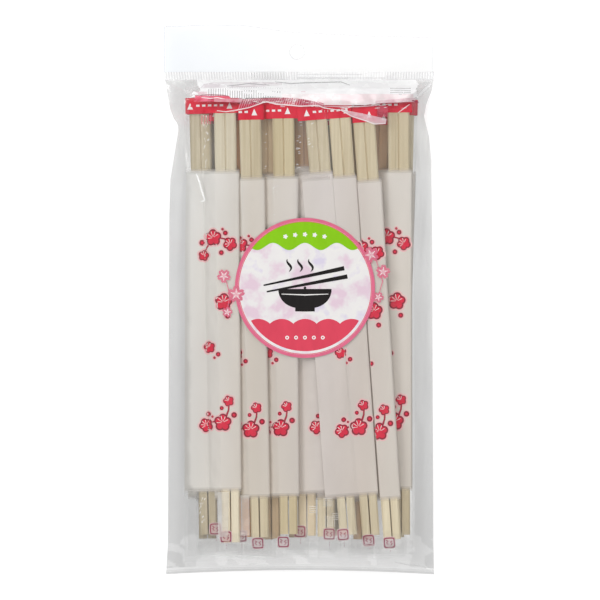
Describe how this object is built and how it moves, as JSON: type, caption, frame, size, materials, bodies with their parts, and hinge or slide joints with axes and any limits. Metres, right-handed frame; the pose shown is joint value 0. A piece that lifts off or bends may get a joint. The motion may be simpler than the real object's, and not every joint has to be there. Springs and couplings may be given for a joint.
{
  "type": "pack of wrapped wooden chopsticks",
  "caption": "Sealed clear film bag with a white hang header and a round label, full of half-split wooden chopsticks, each pair in its own printed film wrapper.",
  "frame": {"origin": "under the middle of the pack, on the surface that it lies on", "axes": "+X to the right across the pack, +Y along the pack to the header, +Z out of its front"},
  "size_m": [0.128, 0.258, 0.0171],
  "materials": {
    "bag_film": "clear glossy film",
    "header_film": "opaque white film, soft gloss",
    "label_paper": "coated paper sticker",
    "aspen_wood": "plain sawn and sanded pale wood",
    "white_print": "opaque white ink on film",
    "red_print": "red ink on film",
    "label_print": "coated, printed in pink, red, green and white",
    "wrapper_film": "thin clear film, printed"
  },
  "bodies": {
    "root": {"bag_film": "bag_film", "header_strip": "header_film", "round_label": "label_paper", "chopstick_pair_01": "aspen_wood", "chopstick_pair_02": "aspen_wood", "chopstick_pair_03": "aspen_wood", "chopstick_pair_04": "aspen_wood", "chopstick_pair_05": "aspen_wood", "chopstick_pair_06": "aspen_wood", "chopstick_pair_07": "aspen_wood", "chopstick_pair_08": "aspen_wood", "chopstick_pair_09": "aspen_wood", "chopstick_pair_10": "aspen_wood", "chopstick_pair_11": "aspen_wood", "chopstick_pair_12": "aspen_wood", "chopstick_pair_13": "aspen_wood", "chopstick_pair_14": "aspen_wood", "chopstick_pair_15": "aspen_wood", "chopstick_pair_16": "aspen_wood", "chopstick_pair_17": "aspen_wood", "chopstick_pair_18": "aspen_wood", "chopstick_pair_19": "aspen_wood", "chopstick_pair_20": "aspen_wood", "wrapper_01": "wrapper_film", "wrapper_02": "wrapper_film", "wrapper_03": "wrapper_film", "wrapper_04": "wrapper_film", "wrapper_05": "wrapper_film", "wrapper_06": "wrapper_film", "wrapper_07": "wrapper_film", "wrapper_08": "wrapper_film", "wrapper_09": "wrapper_film", "wrapper_10": "wrapper_film", "wrapper_11": "wrapper_film", "wrapper_12": "wrapper_film", "wrapper_13": "wrapper_film", "wrapper_14": "wrapper_film", "wrapper_15": "wrapper_film", "wrapper_16": "wrapper_film", "wrapper_17": "wrapper_film", "wrapper_18": "wrapper_film", "wrapper_19": "wrapper_film", "wrapper_20": "wrapper_film"}
  },
  "joints": []
}
